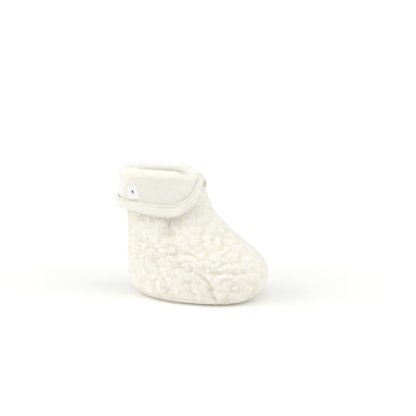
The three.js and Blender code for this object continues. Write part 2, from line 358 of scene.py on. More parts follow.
def even_angles(start, end, z, count):
    """Angles from start to end at each height in z, evenly spaced along the surface."""
    t = np.linspace(0, 1, 400)
    fine = lerp(start[:, None], end[:, None], t)
    line = wall(fine, z[:, None])
    length = np.linalg.norm(np.diff(line, axis=1), axis=-1)
    passed = np.concatenate([np.zeros((len(z), 1)), np.cumsum(length, axis=1)], axis=1)
    share = passed / passed[:, -1:]
    want = np.linspace(0, 1, count)
    return np.array([np.interp(want, share[i], fine[i]) for i in range(len(z))])


def tube(path, radius, sides=8):
    """Points and faces of a closed tube along a path, with rounded ends."""
    path = np.asarray(path, float)
    along = np.gradient(path, axis=0)
    along /= np.linalg.norm(along, axis=-1, keepdims=True)
    up = np.array([0.31, 0.17, 0.93])
    aside = np.cross(up, along)
    aside /= np.linalg.norm(aside, axis=-1, keepdims=True)
    above = np.cross(along, aside)
    turn = np.linspace(0, 2 * math.pi, sides, endpoint=False)
    width = np.full(len(path), radius)
    width[[0, -1]] *= 0.45
    ring = np.cos(turn)[:, None] * aside[:, None] + np.sin(turn)[:, None] * above[:, None]
    points = (path[:, None] + ring * width[:, None, None]).reshape(-1, 3)
    ends = np.array([path[0] - along[0] * radius * 0.3, path[-1] + along[-1] * radius * 0.3])
    return np.concatenate([points, ends]), capped(len(path), sides)


STITCH = 2.4  # length of a stitch
STITCH_GAP = 0.9


def stitches(name, path, outward, radius, length=STITCH, gap=STITCH_GAP, closed=False):
    """A row of separate stitches along a path. Each one rises out of the fabric and dips back in."""
    path = np.asarray(path, float)
    if closed:
        path = np.concatenate([path, path[:1]])
        outward = np.concatenate([outward, outward[:1]])
    passed = np.concatenate([[0], np.cumsum(np.linalg.norm(np.diff(path, axis=0), axis=1))])
    count = int(passed[-1] // (length + gap))
    pitch = passed[-1] / count
    points, faces = [], []
    for k in range(count):
        where = pitch * k + np.linspace(0, length, 7)
        line = np.stack([np.interp(where, passed, path[:, i]) for i in range(3)], -1)
        lift = np.stack([np.interp(where, passed, outward[:, i]) for i in range(3)], -1)
        line += lift * (0.35 * np.sin(np.linspace(0, math.pi, 7)) - 0.3)[:, None]
        more, sides = tube(line, radius)
        faces += [[i + len(points) * len(more) for i in face] for face in sides]
        points.append(more)
    made = add_mesh(name, np.concatenate(points), faces, THREAD)
    return made


# Materials


def material(name, color, roughness, sheen=0.0, scatter_weight=0.0):
    made = bpy.data.materials.new(name)
    made.use_nodes = True
    shader = made.node_tree.nodes["Principled BSDF"]
    shader.inputs["Base Color"].default_value = (*color, 1)
    shader.inputs["Roughness"].default_value = roughness
    shader.inputs["Specular IOR Level"].default_value = 0.25
    shader.inputs["Sheen Weight"].default_value = sheen
    shader.inputs["Sheen Roughness"].default_value = 0.55
    shader.inputs["Subsurface Weight"].default_value = scatter_weight
    shader.inputs["Subsurface Radius"].default_value = (1.0, 0.9, 0.7)
    shader.inputs["Subsurface Scale"].default_value = 0.0016
    return made, shader


def add_node(made, kind, **values):
    """A node with its properties, and with its inputs set where a value's name is an input's."""
    node = made.node_tree.nodes.new(kind)
    for key, value in values.items():
        if key in node.inputs:
            node.inputs[key].default_value = value
        else:
            setattr(node, key, value)
    return node


def link(made, *pairs):
    for start, end in pairs:
        made.node_tree.links.new(start, end)


def two_tone(made, shader, factor, low, high):
    """Colours the surface from low to high by a factor."""
    ramp = add_node(made, "ShaderNodeValToRGB")
    ramp.color_ramp.elements[0].color = (*low, 1)
    ramp.color_ramp.elements[1].color = (*high, 1)
    link(made, (factor, ramp.inputs["Fac"]), (ramp.outputs["Color"], shader.inputs["Base Color"]))
    return ramp


def bump(made, shader, height, distance, strength=1.0, before=None):
    node = add_node(made, "ShaderNodeBump", Distance=distance * MM, Strength=strength)
    link(made, (height, node.inputs["Height"]), (node.outputs["Normal"], shader.inputs["Normal"]))
    if before:
        link(made, (before.outputs["Normal"], node.inputs["Normal"]))
    return node


def place(made):
    return add_node(made, "ShaderNodeTexCoord").outputs["Object"]


def pile_material():
    """Curly ivory pile, with a bump of fine curled fibres, coloured darker and warmer by painted shade in
    its creases.
    """
    made, shader = material("ivory_pile", (0.87, 0.85, 0.78), 1.0, sheen=0.35, scatter_weight=0.35)
    where = place(made)
    # The shade attribute is painted shade: darker in the pile's creases, folds and seam edges.
    depth = add_node(made, "ShaderNodeAttribute", attribute_name="shade")
    patch = add_node(made, "ShaderNodeTexNoise", Scale=70.0, Detail=3.0)
    mix = add_node(made, "ShaderNodeMath", operation="MULTIPLY_ADD")
    mix.inputs[1].default_value = 0.16
    link(made, (where, patch.inputs["Vector"]))
    link(made, (patch.outputs["Fac"], mix.inputs[0]), (depth.outputs["Fac"], mix.inputs[2]))
    # Painted shade: the darker, warmer colour goes where the shade attribute is low, plus a little tone
    # that differs at random.
    ramp = two_tone(made, shader, mix.outputs[0], (0.855, 0.815, 0.685), (0.915, 0.90, 0.828))
    ramp.color_ramp.elements[0].position = 0.05
    ramp.color_ramp.elements[1].position = 0.8
    curl = add_node(made, "ShaderNodeTexVoronoi", Scale=1100.0, feature="SMOOTH_F1", Smoothness=0.4)
    fibre = add_node(made, "ShaderNodeTexNoise", Scale=2600.0, Detail=4.0, Roughness=0.7, Distortion=1.6)
    link(made, (where, curl.inputs["Vector"]), (where, fibre.inputs["Vector"]))
    soft = bump(made, shader, curl.outputs["Distance"], 0.35, 0.7)
    bump(made, shader, fibre.outputs["Fac"], 0.2, 0.7, before=soft)
    return made


def curl_material():
    """Loose fibres of the pile."""
    made, shader = material("ivory_curls", (0.95, 0.94, 0.89), 1.0, sheen=0.4)
    tone = add_node(made, "ShaderNodeTexNoise", Scale=300.0, Detail=2.0)
    link(made, (place(made), tone.inputs["Vector"]))
    two_tone(made, shader, tone.outputs["Fac"], (0.92, 0.90, 0.82), (0.94, 0.925, 0.86))
    return made


def plush_material():
    """Short smooth plush: a fine nap brushed in soft patches."""
    made, shader = material("ivory_plush", (0.86, 0.85, 0.79), 0.95, sheen=0.25, scatter_weight=0.2)
    where = place(made)
    patch = add_node(made, "ShaderNodeTexNoise", Scale=95.0, Detail=4.0, Roughness=0.6, Distortion=0.6)
    link(made, (where, patch.inputs["Vector"]))
    ramp = two_tone(made, shader, patch.outputs["Fac"], (0.84, 0.823, 0.75), (0.875, 0.865, 0.805))
    ramp.color_ramp.elements[0].position = 0.3
    ramp.color_ramp.elements[1].position = 0.7
    nap = add_node(made, "ShaderNodeTexNoise", Scale=1500.0, Detail=5.0, Roughness=0.75)
    link(made, (where, nap.inputs["Vector"]))
    soft = bump(made, shader, patch.outputs["Fac"], 0.5, 0.5)
    bump(made, shader, nap.outputs["Fac"], 0.16, 0.9, before=soft)
    return made


def strip_material():
    """Brushed knit strip: fine ribs under a short nap."""
    made, shader = material("ivory_strip", (0.86, 0.85, 0.79), 0.92, sheen=0.2, scatter_weight=0.15)
    where = place(made)
    patch = add_node(made, "ShaderNodeTexNoise", Scale=160.0, Detail=3.0)
    rib = add_node(made, "ShaderNodeTexWave", Scale=420.0, Distortion=1.5, Detail=2.0)
    rib.bands_direction = "Z"
    nap = add_node(made, "ShaderNodeTexNoise", Scale=1800.0, Detail=4.0, Roughness=0.7)
    for node in (patch, rib, nap):
        link(made, (where, node.inputs["Vector"]))
    two_tone(made, shader, patch.outputs["Fac"], (0.835, 0.82, 0.75), (0.87, 0.86, 0.80))
    soft = bump(made, shader, rib.outputs["Fac"], 0.12, 0.6)
    bump(made, shader, nap.outputs["Fac"], 0.14, 0.8, before=soft)
    return made


def thread_material():
    """Sewing thread: twisted plies."""
    made, shader = material("ivory_thread", (0.86, 0.84, 0.76), 0.6, sheen=0.2)
    where = place(made)
    ply = add_node(made, "ShaderNodeTexWave", Scale=900.0, Distortion=0.6, bands_direction="DIAGONAL")
    link(made, (where, ply.inputs["Vector"]))
    two_tone(made, shader, ply.outputs["Fac"], (0.80, 0.775, 0.68), (0.89, 0.875, 0.81))
    bump(made, shader, ply.outputs["Fac"], 0.1, 0.8)
    return made


def wadding_material():
    """Loose white fibres."""
    made, shader = material("white_wadding", (0.9, 0.9, 0.88), 1.0, sheen=0.3, scatter_weight=0.3)
    where = place(made)
    fibre = add_node(made, "ShaderNodeTexNoise", Scale=600.0, Detail=6.0, Roughness=0.8, Distortion=3.0)
    link(made, (where, fibre.inputs["Vector"]))
    two_tone(made, shader, fibre.outputs["Fac"], (0.82, 0.82, 0.79), (0.93, 0.93, 0.91))
    bump(made, shader, fibre.outputs["Fac"], 0.4)
    return made


def woven_material(name, low, high):
    """Narrow woven tape: fine ribs across and threads along."""
    made, shader = material(name, high, 0.65, sheen=0.15)
    where = place(made)
    across = add_node(made, "ShaderNodeTexWave", Scale=1500.0, bands_direction="Z")
    along = add_node(made, "ShaderNodeTexWave", Scale=1100.0, bands_direction="X")
    both = add_node(made, "ShaderNodeMath", operation="MULTIPLY")
    for node in (across, along):
        link(made, (where, node.inputs["Vector"]))
    link(made, (across.outputs["Fac"], both.inputs[0]), (along.outputs["Fac"], both.inputs[1]))
    two_tone(made, shader, both.outputs[0], low, high)
    bump(made, shader, both.outputs[0], 0.06, 0.7)
    return made


PILE_CLOTH = pile_material()
PLUSH = plush_material()
STRIP = strip_material()
THREAD = thread_material()
WADDING = wadding_material()
CURLS = curl_material()
WOVEN = woven_material("white_woven", (0.90, 0.90, 0.88), (0.95, 0.95, 0.94))
DARK_WOVEN = woven_material("brown_woven", (0.12, 0.10, 0.08), (0.22, 0.19, 0.15))


# Outer fabric


def dent(distance, width):
    return np.exp(-((distance / width) ** 2))


def valleys(points):
    """How deep the fabric is drawn in along the vamp's seam, and in the creases beside it."""
    x, y, z = np.moveaxis(points, -1, 0)
    wander = 1.6 * drift(points, 14, 9)
    side = smoothstep(np.abs(y), 5, 15)
    seam = x - follow(VAMP_EDGE, z)[..., 0] + 0.6 * wander
    under_cuff = 1.9 * dent(seam - 2.5, 7.0) * smoothstep(z, 46, 60) * (1 - smoothstep(z, 72, 84))
    to_sole = 1.5 * dent(seam, 2.4) * (1 - smoothstep(z, 22, 34))
    over_toe = 1.5 * dent(z - 30 + wander, 2.0) * smoothstep(x, 18, 26) * (1 - smoothstep(x, 44, 54))
    behind = 1.1 * dent(z - 21 + wander, 1.8) * smoothstep(x, -4, 3) * (1 - smoothstep(x, 12, 18))
    above = 1.0 * dent(z - 43 + wander, 2.2) * smoothstep(x, -14, -8) * (1 - smoothstep(x, 4, 12))
    return side * (under_cuff + to_sole + over_toe + behind + above)


def gathers(points):
    """Folds where the fabric is gathered round the toe, just above the sole."""
    x, y, z = np.moveaxis(points, -1, 0)
    turn = np.arctan2(y, x - 12) + 0.1 * drift(points, 20, 8)
    fold = 0.5 + 0.5 * np.cos(turn * 14)
    window = smoothstep(z, 2, 8) * (1 - smoothstep(z, 15, 27)) * smoothstep(x, 4, 26)
    return 1.3 * window * fold**3


def rolled(edge, radius, depth):
    """How deep a fabric's turned-in edge dips, at a distance from the edge."""
    return depth * (1 - np.sqrt(np.clip(1 - (1 - np.clip(edge / radius, 0, 1)) ** 2, 0, 1)))


SOLE_ROLL = 0.35  # how deep the edges at the sole seam are turned in


def liveliness(points):
    """How high the pile stands: most at the middle of the sides, less on the heel and over the toe."""
    x, y, z = np.moveaxis(points, -1, 0)
    back = smoothstep(-x, 24, 50)
    toe = smoothstep(x, 44, 60)
    over = smoothstep(z, 50, 70)
    return 1 - 0.6 * back - 0.5 * toe * (1 - 0.3 * over) - 0.3 * over * (1 - back)


def pile_face(grid, seam_edge, sole_edge):
    """A panel's face with its pile, and the painted shade of each point of it."""
    out = normals(grid)
    z = grid[..., 2]
    under_cuff = smoothstep(z, cuff_edge(grid[..., 0]) - 2, cuff_edge(grid[..., 0]) + 5)
    height = curls(grid)
    alive = liveliness(grid) * (1 - 0.7 * under_cuff)
    lumps = 0.55 * drift(grid, 12, 6) + 0.3 * drift(grid, 6.5, 7)
    off_sole = smoothstep(sole_edge, 0, 1.2)
    sunk = np.maximum(rolled(seam_edge, 1.3, 0.6) * off_sole, rolled(sole_edge, 1.0, SOLE_ROLL))
    free = smoothstep(seam_edge, -0.2, 0.9) * off_sole
    fold = (gathers(grid) + valleys(grid)) * off_sole
    move = free * alive * (1.7 * (height - 0.62) + lumps) - fold - sunk
    move = np.clip(move, 0.6 - pile_at(z), lerp(2.0, 0.2, under_cuff))
    # Painted shade: darker in the creases between the pile's knobs, in the gathers and valleys, and at
    # the turned-in seam edges.
    shade = lerp(0.7, height, 0.35 + 0.65 * alive) - 0.12 * np.clip(fold, 0, 3)
    return grid + out * move[..., None], np.clip(shade - 0.1 * (1 - smoothstep(seam_edge, 0, 1.2)), 0, 1)


CURL_STEPS = 9  # points along a loose curl
CURL_SIDES = 3
CURL_RADIUS = 0.13


def curl_pile(name, face, count, seed):
    """Loose curls of fibre that stand out of a face, each a closed thin tube."""
    out = normals(face)
    chance = scatter(np.arange(count)[:, None] * [1.0, 3.0, 7.0] + 0.5, seed)
    more = scatter(np.arange(count)[:, None] * [5.0, 2.0, 3.0] + 0.25, seed + 1)
    rows, columns = face.shape[:2]
    r = (chance[:, 0] * (rows - 3)).astype(int) + 1
    c = (chance[:, 1] * (columns - 3)).astype(int) + 1
    root, up = face[r, c], out[r, c]
    free = root[:, 2] < cuff_edge(root[:, 0]) - 1.5
    root, up, chance, more = root[free], up[free], chance[free], more[free]
    aside = np.cross(up, np.array([0.2, 0.1, 1.0]))
    aside /= np.linalg.norm(aside, axis=-1, keepdims=True)
    along = np.cross(up, aside)
    t = np.linspace(0, 1, CURL_STEPS)
    begin = 2 * math.pi * chance[:, 2, None]
    turn = begin + (3.4 + 2.6 * more[:, 0, None]) * t * np.where(more[:, 1, None] > 0.5, 1, -1)
    radius = (0.42 + 0.4 * more[:, 2, None]) * (1 - 0.25 * t)
    lift = -0.1 + (0.25 + 0.35 * more[:, 1, None]) * np.sin(math.pi * (0.08 + 0.84 * t))
    path = root[:, None] + up[:, None] * lift[..., None]
    path = path + aside[:, None] * (radius * np.cos(turn) - radius[:, :1] * np.cos(begin))[..., None]
    path = path + along[:, None] * (radius * np.sin(turn) - radius[:, :1] * np.sin(begin))[..., None]
    heading = np.gradient(path, axis=1)
    heading /= np.linalg.norm(heading, axis=-1, keepdims=True)
    left = np.cross(heading, up[:, None])
    left /= np.maximum(np.linalg.norm(left, axis=-1, keepdims=True), 1e-6)
    over = np.cross(heading, left)
    thick = CURL_RADIUS * (1 - 0.55 * t**2)
    corner = np.radians([90, 210, 330])
    ring = np.cos(corner)[:, None] * left[:, :, None] + np.sin(corner)[:, None] * over[:, :, None]
    points = path[:, :, None] + ring * thick[:, None, None]
    points[..., 2] = np.maximum(points[..., 2], 0.05)
    sides = quads(CURL_STEPS, CURL_SIDES, closed=True)
    ends = np.array([[0, 2, 1], CURL_SIDES * (CURL_STEPS - 1) + np.arange(CURL_SIDES)])
    start = CURL_STEPS * CURL_SIDES * np.arange(len(points))[:, None, None]
    faces = (sides + start).reshape(-1, 4).tolist() + (ends + start).reshape(-1, 3).tolist()
    made = add_mesh(name, points.reshape(-1, 3), faces, CURLS)
    made.data.shade_flat()
    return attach(made, "boot")


def panel(name, start, end, columns, curl_count, seed, rows=257, step=4):
    """An upper panel between two angles, given as functions of height, from the sole to the rim."""
    heights = np.linspace(SOLE_SEAM_Z, FOLD_HEIGHT, 240)
    spaced = even_angles(start(heights), end(heights), heights, columns)
    top = fold_top(along_rim(spaced[-1])) - CUFF_LEG - GAP
    z = lerp(SOLE_SEAM_Z, top[None, :], np.linspace(0, 1, rows)[:, None])
    angle = np.stack([np.interp(z[:, c], heights, spaced[:, c]) for c in range(columns)], -1)
    grid = wall(angle, z)
    seam_edge = np.minimum(*reach(grid, 1))
    face, shade = pile_face(grid, seam_edge, reach(grid, 0)[0])
    few = (slice(None, None, step), slice(None, None, step))
    inside = wall(angle[few], z[few], -pile_at(z[few]))
    made = shell(name + "_fleece", face, inside, step, PILE_CLOTH, shade)
    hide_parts(name)
    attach(made, "boot")
    curl_pile(name + "_curls", face, curl_count, seed)


def vamp_seam(side, gap):
    """The vamp's edge on a side, moved back by a gap, as an angle at each height."""
    return lambda z: side * (vamp_angle(z) + gap / follow(OUTLINES, z)[..., 2])


def middle_of_back(angle):
    return lambda z: np.full_like(z, angle)


SEAM_LAP = 0.06  # how far panels press into each other at a seam
VAMP_CURLS = 3000
QUARTER_CURLS = 1900
SOLE_CURLS = 600
vamp_right, vamp_left = vamp_seam(-1, SEAM_LAP), vamp_seam(1, SEAM_LAP)
left_front, left_back = vamp_seam(1, -SEAM_LAP), middle_of_back(math.pi)
right_back, right_front = middle_of_back(-math.pi), vamp_seam(-1, -SEAM_LAP)
panel("vamp", vamp_right, vamp_left, columns=341, curl_count=VAMP_CURLS, seed=61)
panel("left_quarter", left_front, left_back, columns=257, curl_count=QUARTER_CURLS, seed=62)
panel("right_quarter", right_back, right_front, columns=257, curl_count=QUARTER_CURLS, seed=63)


def disc_rings(shares, outline, heights):
    """Rings of points across a disc: shares of its outline, each at a height."""
    middle = outline.mean(axis=0)
    rings = []
    for share, z in zip(shares, heights):
        ring = middle + (outline - middle) * share
        ring[:, 2] = z
        rings.append(ring)
    return rings


def ring_solid(name, rings, cloth, shade=None):
    """A closed surface through rings, from a point in the middle of the first to one in the last."""
    ends = np.array([rings[0].mean(axis=0), rings[-1].mean(axis=0)])
    points = np.concatenate([*rings, ends])
    faces = capped(len(rings), len(rings[0]))
    if shade is not None:
        shade = np.concatenate([shade, [shade.mean()] * 2])
    return add_mesh(name, points, faces, cloth, shade)


def outer_sole():
    """The sole: pressed flat below, and turned up at its edge to the sole seam."""
    angle = np.linspace(0, 2 * math.pi, 480, endpoint=False)
    ground = wall(angle, 0.0)
    below = disc_rings(np.linspace(0.05, 1, 60), ground, np.zeros(60))
    side = [wall(angle, z) for z in np.linspace(0.35, SOLE_SEAM_Z + SEAM_LAP, 14)]
    within = [wall(angle, SOLE_SEAM_Z - 0.4, -1.6), wall(angle, PILE, -PILE)]
    above = disc_rings(np.linspace(0.96, 0.05, 16), wall(angle, 3.0, -PILE), np.full(16, PILE))
    grid = np.array(below + side)
    height = curls(grid)
    z = grid[..., 2]
    upright = smoothstep(z, 0.2, 3.5)
    free = smoothstep(SOLE_SEAM_Z - z, 0, 1.2)
    spread = 4.5 * (1 - smoothstep(z, 0, 3.2)) * smoothstep(np.arange(len(grid))[:, None], 30, 59)
    move = spread + free * upright * 1.5 * (height - 0.62) - rolled(SOLE_SEAM_Z - z, 1.0, SOLE_ROLL)
    flat = normals(grid)
    flat[..., 2] = 0
    grid = grid + flat * move[..., None]
    grid[..., 2] = np.maximum(grid[..., 2] + 0.5 * (1 - height) * (1 - upright), 0.0)
    rings = list(grid) + within + above
    # Painted shade: darker in the creases between the pile's knobs; the hidden inner rings take one
    # middling value.
    shade = lerp(height, 0.75, 0.4)
    shade = np.concatenate([shade.ravel(), np.full(len(angle) * (len(rings) - len(grid)), 0.6)])
    made = ring_solid("outer_sole_fleece", rings, PILE_CLOTH, shade)
    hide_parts("outer_sole")
    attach(made, "boot")
    curl_pile("outer_sole_curls", grid[len(below) :], SOLE_CURLS, 64)


outer_sole()


# Lining, insole and wadding


def raised(z, under):
    """Heights of a surface inside the outer one, whose floor is higher by under."""
    return z + under * (1 - smoothstep(z, 0, 30))


def lining(name, start, end):
    side = np.linspace(start, end, 97)
    top = fold_top(along_rim(side)) - CUFF_LEG - GAP
    part = np.linspace(0, 1, 121)[:, None]

    def surface(inset, under, base):
        z = lerp(base, top[None, :], part)
        grid = wall(side, z, -inset(z))
        grid[..., 2] = raised(z, under)
        return grid

    near = surface(lambda z: pile_at(z) + GAP, PILE + GAP, 3.6)
    far = surface(lambda z: pile_at(z) + GAP + lining_at(z), PILE + GAP + LINING, 1.6)
    far = far - normals(far) * (0.25 * drift(far, 9, 11))[..., None]
    made = sheet(name + "_plush", near, far, PLUSH)
    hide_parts(name)
    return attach(made, "boot")


lining("left_lining", 0.003, math.pi - 0.003)
lining("right_lining", math.pi + 0.003, 2 * math.pi - 0.003)


# A pad's outline over its CAD layer's box. It is widest in front of its middle.
PAD_LENGTH = 0.985
PAD_WIDTH = 0.94 * 1.06 / 1.1
PAD_BULGE = 2.2


def pad(name, node, cloth, crown, seed):
    """A soft layer in the place of a CAD layer, with a crowned top and rounded edges."""
    angle = np.linspace(0, 2 * math.pi, 160, endpoint=False)
    low, high = lowest(node), highest(node)
    middle, size = (low + high) / 2, (high - low) / 2
    c, s = np.cos(angle), np.sin(angle)
    x = middle[0] + size[0] * PAD_LENGTH * np.sign(c) * np.abs(c) ** (2 / PAD_BULGE)
    y = size[1] * PAD_WIDTH * (1 + 0.1 * c) * np.sign(s) * np.abs(s) ** (2 / PAD_BULGE)
    outline = np.stack([x, y, np.full_like(x, middle[2])], -1)
    shares = np.linspace(0.04, 1, 26)
    bottom = disc_rings(shares, outline, low[2] + 0.45 * size[2] * shares**8)
    upper = disc_rings(shares[::-1], outline, high[2] - (0.9 * size[2]) * shares[::-1] ** 6)
    for ring in upper:
        ring[:, 2] -= crown * (0.5 + 0.5 * drift(ring, 12, seed))
    made = ring_solid(name, bottom + upper, cloth)
    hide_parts(node)
    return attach(made, "boot")


pad("insole_pad", "insole", PLUSH, crown=0.4, seed=12)
pad("sole_wadding_pad", "sole_wadding", WADDING, crown=0.6, seed=13)


# Cuff


def cuff_point(angle, out, z):
    """A point out from the shaft's surface. The cuff stands further off at the back."""
    angle, out, z = np.broadcast_arrays(angle, out, z)
    p = wall(angle, np.where(out > 0, z, RIM), out)
    backward = np.maximum(0, -np.cos(angle)) ** 2
    x = p[..., 0] - BACK_STAND_OFF * backward * smoothstep(out, GAP - INSIDE + CUFF_LEG, 2 * GAP)
    return np.stack([x, p[..., 1], z], -1)


PLUMP = 1.5  # how far the fold's inner side swells into the mouth
FOLD_MIDDLE = (OUTSIDE - INSIDE - PLUMP) / 2
FOLD_HALF = (OUTSIDE + INSIDE + PLUMP) / 2
FOLD_ROUND = 0.9  # height of the fold's round over its half width
LEG_ROWS = 34
FOLD_ROWS = 28


def shoulder_of(top, edge):
    """The height at which the cuff's outer face starts to turn over into the fold."""
    return np.maximum(top - FOLD_HALF * FOLD_ROUND, edge + 1.5)


def cuff_face(x, z):
    """How far out the cuff's outer face is, at a height."""
    top, edge = fold_top(x), cuff_edge(x)
    shoulder = shoulder_of(top, edge)
    rise = np.clip((z - shoulder) / (top - shoulder), 0, 1)
    return FOLD_MIDDLE + FOLD_HALF * np.sqrt(1 - rise**2)


def turned(piece):
    """Bakes a piece's placement into its mesh points."""
    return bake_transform(piece)


def joined_rings(name, ring, cloth):
    """A mesh from sections joined in a loop: ring is (point of the section, place along it)."""
    count, columns = ring.shape[:2]
    grid = np.arange(count * columns).reshape(count, columns)
    over, beside = np.roll(grid, -1, axis=0), np.roll(grid, -1, axis=1)
    faces = np.stack([grid, beside, np.roll(over, -1, axis=1), over], -1)
    return add_mesh(name, ring.reshape(-1, 3), faces.reshape(-1, 4).tolist(), cloth)


def cuff_half(name, start, end, columns=281):
    """Half of the cuff: an outer and an inner leg of plush, joined by a rolled fold."""
    angle = np.linspace(start, end, columns)
    x = along_rim(angle)
    top, edge = fold_top(x), cuff_edge(x)
    shoulder = shoulder_of(top, edge)
    one = np.ones(columns)
    rows = [(OUTSIDE * one, lerp(edge + 0.5, shoulder, t)) for t in np.arange(LEG_ROWS) / LEG_ROWS]
    for a in math.pi * np.arange(FOLD_ROWS) / FOLD_ROWS:
        z = top - np.minimum((1 - math.sin(a)) * FOLD_ROUND * FOLD_HALF, top - shoulder)
        rows.append(((FOLD_MIDDLE + FOLD_HALF * math.cos(a)) * one, z))
    rows += [((-INSIDE - PLUMP) * one, lerp(shoulder, edge + 0.5, t)) for t in np.arange(26) / 26]
    seen = len(rows)
    hidden = [(-INSIDE, edge), (-INSIDE + CUFF_LEG - 0.4, edge)]
    hidden += [(CUFF_LEG - INSIDE, lerp(edge + 0.5, top - CUFF_LEG, t)) for t in np.arange(8) / 8]
    hidden += [(2 * GAP, lerp(top - CUFF_LEG, edge + 0.5, t)) for t in np.arange(10) / 10]
    hidden += [(2 * GAP + 0.4, edge), (OUTSIDE - 0.5, edge)]
    rows += [(out * one, z) for out, z in hidden]
    ring = cuff_point(angle[None, :], np.array([r[0] for r in rows]), np.array([r[1] for r in rows]))
    looped = np.concatenate([ring[-1:], ring, ring[:1]])
    away = normals(looped)[1:-1]
    level = np.arange(len(rows))[:, None]
    share = smoothstep(level, 0, 4) * (1 - smoothstep(level, seen - 8, seen))
    crest = dent(level - LEG_ROWS - FOLD_ROWS / 2, 11.0)
    seam = rolled(np.minimum(*reach(ring, 1)), 1.5, 0.9)
    dents = 0.5 * drift(ring * [1, 1, 0.7], 19, 21) + 0.2 * drift(ring, 8, 22)
    move = share * (dents * lerp(0.8, 2.2, crest) - 0.25 * (1 - crest) - seam)
    ring = ring + away * np.minimum(move, lerp(0.15, 2.0, crest))[..., None]
    count = len(rows)
    grid = np.arange(count * columns).reshape(count, columns)
    over = np.roll(grid, -1, axis=0)
    faces = np.stack([grid[:, :-1], grid[:, 1:], over[:, 1:], over[:, :-1]], -1).reshape(-1, 4).tolist()
    faces += end_faces(grid[:, 0], seen) + [face[::-1] for face in end_faces(grid[:, -1], seen)]
    made = add_mesh(name + "_plush", ring.reshape(-1, 3), faces, PLUSH)
    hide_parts(name)
    return turned(made)


def end_faces(loop, seen):
    """Faces that close a cuff's end: its outer points, joined across to its inner ones."""
    outer = [int(i) for i in loop[:seen]]
    inner = [int(i) for i in loop[seen:]][::-1]
    faces = []
    for k in range(seen - 1):
        j = round(k * (len(inner) - 1) / (seen - 1))
        i = round((k + 1) * (len(inner) - 1) / (seen - 1))
        faces.append([outer[k], outer[k + 1], inner[j]])
        if i > j:
            faces.append([inner[j], outer[k + 1], inner[i]])
    return faces


cuff_half("left_cuff", 0.004, math.pi - 0.004)
cuff_half("right_cuff", math.pi + 0.004, 2 * math.pi - 0.004)

STITCH_SHARE = 0.82  # height of the binding's stitching, over the binding's


def cuff_binding():
    """The bound edge: a soft strip round the cuff's edge, drawn in a little by its stitching."""
    angle = np.linspace(0, 2 * math.pi, 640, endpoint=False)
    x = along_rim(angle)
    low, high = cuff_edge(x) - 0.3, binding_top(x)
    turn = np.linspace(0, 2 * math.pi, 44, endpoint=False)
    thick = 0.5 + 0.5 * np.sign(np.cos(turn)) * np.abs(np.cos(turn)) ** 0.9
    up = 0.5 + 0.5 * np.sign(np.sin(turn)) * np.abs(np.sin(turn)) ** 0.7
    plump = BINDING + 1.3
    z = lerp(low, high, up[:, None])
    out = BINDING_GAP + cuff_face(x, z) + plump * thick[:, None] * lerp(1.0, 0.5, up[:, None] ** 2)
    ring = cuff_point(angle, out, z)
    away = cuff_point(angle, OUTSIDE + 1, (low + high) / 2) - cuff_point(angle, OUTSIDE, (low + high) / 2)
    away /= np.linalg.norm(away, axis=-1, keepdims=True)
    pucker = 0.22 * drift(ring * [1, 1, 0.35], 3.2, 31) + 0.4 * drift(ring, 10, 32)
    move = thick[:, None] * (pucker - 0.5 * dent(up[:, None] - STITCH_SHARE, 0.07))
    ring = ring + away[None] * move[..., None]
    made = joined_rings("cuff_binding_strip", ring, STRIP)
    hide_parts("cuff_binding")
    turned(made)
    level = lerp(low, high, STITCH_SHARE)
    sewn = BINDING_GAP + cuff_face(x, level) + plump * lerp(1.0, 0.5, STITCH_SHARE**2) - 0.35
    line = cuff_point(angle, sewn, level)
    row = stitches("binding_stitches", line, away, 0.24, closed=True)
    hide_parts("binding_stitching")
    turned(row)


cuff_binding()


# Seams


def seam_row(name, path, outward, radius=0.3, closed=False):
    row = stitches(name + "_stitches", path, outward, radius, closed=closed)
    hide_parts(name)
    return row


def outer_seams():
    """Stitches at the bottom of the outer fabric's seams."""
    z = np.linspace(SOLE_SEAM_Z + 3, FOLD_HEIGHT - 6, 160)
    deep = lerp(0.9, 0.7, pressed(z))
    path = wall(math.pi, z, -deep)
    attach(seam_row("back_seam", path, np.tile([-1.0, 0, 0], (len(z), 1))), "boot")
    for name, side in (("left_vamp_seam", 1), ("right_vamp_seam", -1)):
        angle = side * vamp_angle(z)
        path = wall(angle, z, -deep - valleys(wall(angle, z)))
        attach(seam_row(name, path, wall(angle, z, 1.0) - wall(angle, z)), "boot")
    angle = np.linspace(0, 2 * math.pi, 400, endpoint=False)
    edge = wall(angle, SOLE_SEAM_Z)
    path = wall(angle, SOLE_SEAM_Z, -0.7)
    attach(seam_row("sole_seam", path, wall(angle, SOLE_SEAM_Z, 1.0) - edge, closed=True), "boot")


def cuff_seams():
    """Stitches in the cuff's back and front seams, over the fold."""
    for name, angle in (("cuff_back_seam", math.pi), ("cuff_front_seam", 0.0)):
        x = along_rim(np.array(angle))
        top, edge = fold_top(x), cuff_edge(x)
        turn = np.linspace(0, math.pi, 30)
        shoulder = shoulder_of(top, edge)
        up = np.linspace(edge + 1, shoulder, 20)
        out = [np.full(20, OUTSIDE), FOLD_MIDDLE + FOLD_HALF * np.cos(turn), np.full(20, -INSIDE - PLUMP)]
        rise = np.minimum((1 - np.sin(turn)) * FOLD_ROUND * FOLD_HALF, top - shoulder)
        path = cuff_point(angle, np.concatenate(out), np.concatenate([up, top - rise, up[::-1]]))
        ahead = 1 if angle == 0 else -1
        side = np.sign(np.concatenate(out) - FOLD_MIDDLE) * ahead
        away = np.stack([side, np.zeros(len(path)), np.full(len(path), 0.6)], -1)
        away /= np.linalg.norm(away, axis=-1, keepdims=True)
        turned(seam_row(name, path - 0.7 * away, away, radius=0.25))


outer_seams()
cuff_seams()


# Label

